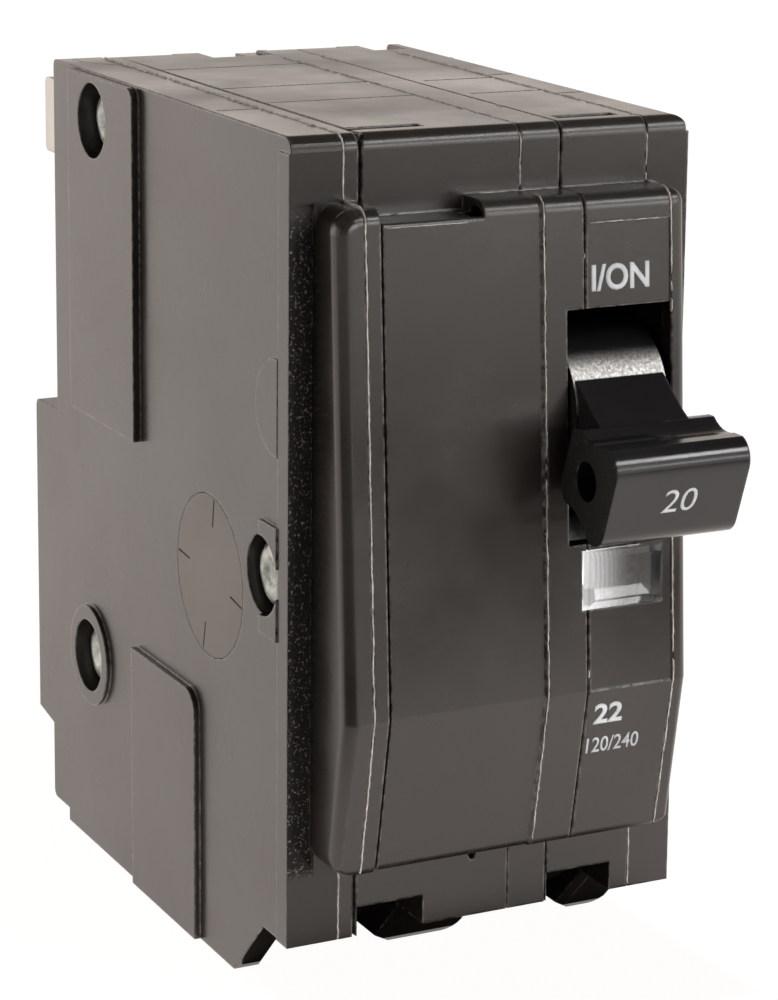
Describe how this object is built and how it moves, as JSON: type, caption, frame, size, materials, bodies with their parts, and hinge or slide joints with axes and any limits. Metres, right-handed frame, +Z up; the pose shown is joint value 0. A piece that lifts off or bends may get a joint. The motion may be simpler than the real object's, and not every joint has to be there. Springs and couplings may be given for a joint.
{
  "type": "circuit breaker",
  "caption": "Double-pole plug-in miniature circuit breaker with a wide rocker handle, trip flag window and working contact and trip mechanism inside.",
  "frame": {"origin": "middle of the footprint, at the height of the feet", "axes": "+Z up along the front face, +X to the right seen from the front, +Y towards the plug-on jaws at the back"},
  "size_m": [0.0396, 0.0792, 0.0778],
  "materials": {
    "left_cover": "black phenolic moulding, satin with a light sheen",
    "left_case": "black phenolic moulding, satin with a light sheen",
    "centre_case": "black phenolic moulding, satin with a light sheen",
    "right_case": "black phenolic moulding, satin with a light sheen",
    "right_cover": "black phenolic moulding, satin with a light sheen",
    "calibration_plugs": "dull brown-grey pressed plug",
    "housing_rivets": "bright zinc-plated steel",
    "handle": "black thermoplastic",
    "handle_shaft": "bright zinc-plated steel",
    "left_crank": "black thermoplastic",
    "crank_pins": "bright zinc-plated steel",
    "indicator_lens": "clear polycarbonate",
    "trip_flag": "red thermoplastic",
    "contact_arm_left": "bare copper",
    "contact_arm_right": "bare copper",
    "moving_contact_left": "silver alloy",
    "moving_contact_right": "silver alloy",
    "fixed_contacts": "silver alloy",
    "line_jaw_left": "tin-plated copper",
    "line_jaw_right": "tin-plated copper",
    "arc_plates_left": "dull nickel-plated steel",
    "arc_plates_right": "dull nickel-plated steel",
    "arc_chute_left": "brown vulcanised fibre",
    "arc_chute_right": "brown vulcanised fibre",
    "toggle_spring_left": "bright zinc-plated steel",
    "toggle_spring_right": "bright zinc-plated steel",
    "cradle_left": "bright zinc-plated steel",
    "cradle_right": "bright zinc-plated steel",
    "cradle_pins": "bright zinc-plated steel",
    "armature_left": "dull nickel-plated steel",
    "armature_right": "dull nickel-plated steel",
    "magnet_yoke_left": "dull nickel-plated steel",
    "magnet_yoke_right": "dull nickel-plated steel",
    "bimetal_left": "bimetal strip",
    "bimetal_right": "bimetal strip",
    "braid_left": "bare copper",
    "braid_right": "bare copper",
    "trip_bar": "off-white thermoplastic",
    "load_strap_left": "bare copper",
    "load_strap_right": "bare copper",
    "clamp_plate_left": "steel with a dark finish",
    "clamp_plate_right": "steel with a dark finish",
    "terminal_screw_left": "steel with a dark finish",
    "terminal_screw_right": "steel with a dark finish"
  },
  "bodies": {
    "housing": {"left_cover": "left_cover", "left_case": "left_case", "centre_case": "centre_case", "right_case": "right_case", "right_cover": "right_cover", "calibration_plugs": "calibration_plugs", "housing_rivets": "housing_rivets", "indicator_lens": "indicator_lens", "fixed_contacts": "fixed_contacts", "line_jaw_left": "line_jaw_left", "line_jaw_right": "line_jaw_right", "arc_plates_left": "arc_plates_left", "arc_plates_right": "arc_plates_right", "arc_chute_left": "arc_chute_left", "arc_chute_right": "arc_chute_right", "cradle_pins": "cradle_pins", "magnet_yoke_left": "magnet_yoke_left", "magnet_yoke_right": "magnet_yoke_right", "bimetal_left": "bimetal_left", "bimetal_right": "bimetal_right", "braid_left": "braid_left", "braid_right": "braid_right", "load_strap_left": "load_strap_left", "load_strap_right": "load_strap_right"},
    "handle": {"handle": "handle", "handle_shaft": "handle_shaft", "left_crank": "left_crank", "crank_pins": "crank_pins"},
    "arm_left": {"contact_arm_left": "contact_arm_left", "moving_contact_left": "moving_contact_left"},
    "arm_right": {"contact_arm_right": "contact_arm_right", "moving_contact_right": "moving_contact_right"},
    "cradle_left": {"cradle_left": "cradle_left"},
    "cradle_right": {"cradle_right": "cradle_right"},
    "spring_left": {"toggle_spring_left": "toggle_spring_left"},
    "spring_right": {"toggle_spring_right": "toggle_spring_right"},
    "armature_left": {"armature_left": "armature_left"},
    "armature_right": {"armature_right": "armature_right"},
    "trip_bar": {"trip_bar": "trip_bar"},
    "flag": {"trip_flag": "trip_flag"},
    "clamp_left": {"clamp_plate_left": "clamp_plate_left"},
    "clamp_right": {"clamp_plate_right": "clamp_plate_right"},
    "screw_left": {"terminal_screw_left": "terminal_screw_left"},
    "screw_right": {"terminal_screw_right": "terminal_screw_right"}
  },
  "joints": [
    {"name": "handle_turn", "type": "hinge", "parent": "housing", "child": "handle", "pos_m": [0, -0.02279, 0.05305], "axis": [-1, 0, 0], "range_deg": [0, 40], "deforming": ["toggle_spring_left", "toggle_spring_right", "braid_left", "braid_right"]},
    {"name": "arm_left_turn", "type": "hinge", "parent": "handle", "child": "arm_left", "pos_m": [-0.00925, -0.01434, 0.05613], "axis": [1, 0, 0], "range_deg": [0, 63]},
    {"name": "cradle_left_drop", "type": "hinge", "parent": "housing", "child": "cradle_left", "pos_m": [-0.00925, 0.01481, 0.047], "axis": [1, 0, 0], "range_deg": [0, 16]},
    {"name": "spring_left_lean", "type": "hinge", "parent": "cradle_left", "child": "spring_left", "pos_m": [-0.00925, 0.00331, 0.0462], "axis": [1, 0, 0], "range_deg": [0, 8.5]},
    {"name": "armature_left_pull", "type": "hinge", "parent": "housing", "child": "armature_left", "pos_m": [-0.00925, -0.00169, 0.0226], "axis": [1, 0, 0], "range_deg": [0, 7]},
    {"name": "arm_right_turn", "type": "hinge", "parent": "handle", "child": "arm_right", "pos_m": [0.0098, -0.01434, 0.05613], "axis": [1, 0, 0], "range_deg": [0, 63]},
    {"name": "cradle_right_drop", "type": "hinge", "parent": "housing", "child": "cradle_right", "pos_m": [0.0098, 0.01481, 0.047], "axis": [1, 0, 0], "range_deg": [0, 16]},
    {"name": "spring_right_lean", "type": "hinge", "parent": "cradle_right", "child": "spring_right", "pos_m": [0.0098, 0.00331, 0.0462], "axis": [1, 0, 0], "range_deg": [0, 8.5]},
    {"name": "armature_right_pull", "type": "hinge", "parent": "housing", "child": "armature_right", "pos_m": [0.0098, -0.00169, 0.0226], "axis": [1, 0, 0], "range_deg": [0, 7]},
    {"name": "trip_bar_turn", "type": "hinge", "parent": "housing", "child": "trip_bar", "pos_m": [0, 0.00681, 0.0356], "axis": [1, 0, 0], "range_deg": [0, 10]},
    {"name": "flag_rise", "type": "slide", "parent": "housing", "child": "flag", "axis": [0, 0, 1], "range_m": [0, 0.0063]},
    {"name": "clamp_left_press", "type": "slide", "parent": "housing", "child": "clamp_left", "axis": [0, 0.7071, 0.7071], "range_m": [0, 0.0017]},
    {"name": "screw_left_turn", "type": "hinge", "parent": "clamp_left", "child": "screw_left", "pos_m": [-0.00925, -0.01259, 0.0108], "axis": [0, -0.7071, -0.7071], "range_deg": [0, 720]},
    {"name": "clamp_right_press", "type": "slide", "parent": "housing", "child": "clamp_right", "axis": [0, 0.7071, 0.7071], "range_m": [0, 0.0017]},
    {"name": "screw_right_turn", "type": "hinge", "parent": "clamp_right", "child": "screw_right", "pos_m": [0.0098, -0.01259, 0.0108], "axis": [0, -0.7071, -0.7071], "range_deg": [0, 720]}
  ],
  "couplings": [
    {"joint": "arm_left_turn", "follows": "handle_turn", "ratio": 1.575},
    {"joint": "arm_right_turn", "follows": "handle_turn", "ratio": 1.575},
    {"joint": "spring_left_lean", "follows": "handle_turn", "ratio": 0.20776},
    {"joint": "spring_right_lean", "follows": "handle_turn", "ratio": 0.20776},
    {"joint": "armature_left_pull", "follows": "flag_rise", "rad_per_m": 19.393},
    {"joint": "armature_right_pull", "follows": "flag_rise", "rad_per_m": 19.393},
    {"joint": "cradle_left_drop", "follows": "flag_rise", "rad_per_m": 44.326},
    {"joint": "cradle_right_drop", "follows": "flag_rise", "rad_per_m": 44.326},
    {"joint": "trip_bar_turn", "follows": "flag_rise", "rad_per_m": 27.704},
    {"joint": "screw_left_turn", "follows": "clamp_left_press", "rad_per_m": 7392},
    {"joint": "screw_right_turn", "follows": "clamp_right_press", "rad_per_m": 7392}
  ]
}
